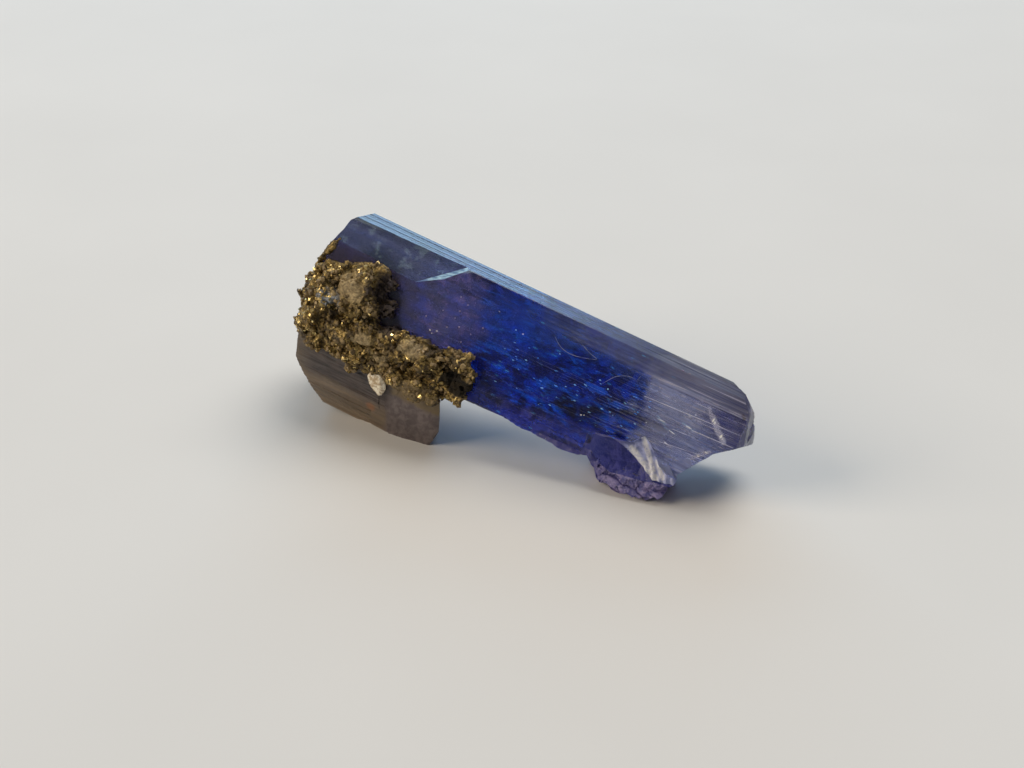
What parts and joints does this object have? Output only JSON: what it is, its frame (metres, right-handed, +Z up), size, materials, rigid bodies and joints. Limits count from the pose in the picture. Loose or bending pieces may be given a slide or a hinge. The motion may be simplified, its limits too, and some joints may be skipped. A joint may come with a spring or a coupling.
{
  "type": "rough tanzanite crystal on matrix",
  "caption": "Rough blue-violet tanzanite prism, striated and broken, with brassy matrix and smoky side crystals grown on one end, lying on its side.",
  "frame": {"origin": "under the middle of the whole stone's bounding box, on the surface the stone rests on", "axes": "+X along the stone towards the crystal's clear end, +Z up from the surface, -Y towards the wide striated front face"},
  "size_m": [0.031, 0.0088, 0.0126],
  "materials": {
    "tanzanite": "vitreous, striated lengthwise, deep blue in the middle, pale lilac at the clear end",
    "smoky_crystal": "smoky translucent, finely striated",
    "brassy_matrix": "rough granular matrix with brassy metallic grains"
  },
  "bodies": {
    "root": {"tanzanite_crystal": "tanzanite", "side_crystals": "smoky_crystal", "matrix_crust": "brassy_matrix"}
  },
  "joints": []
}
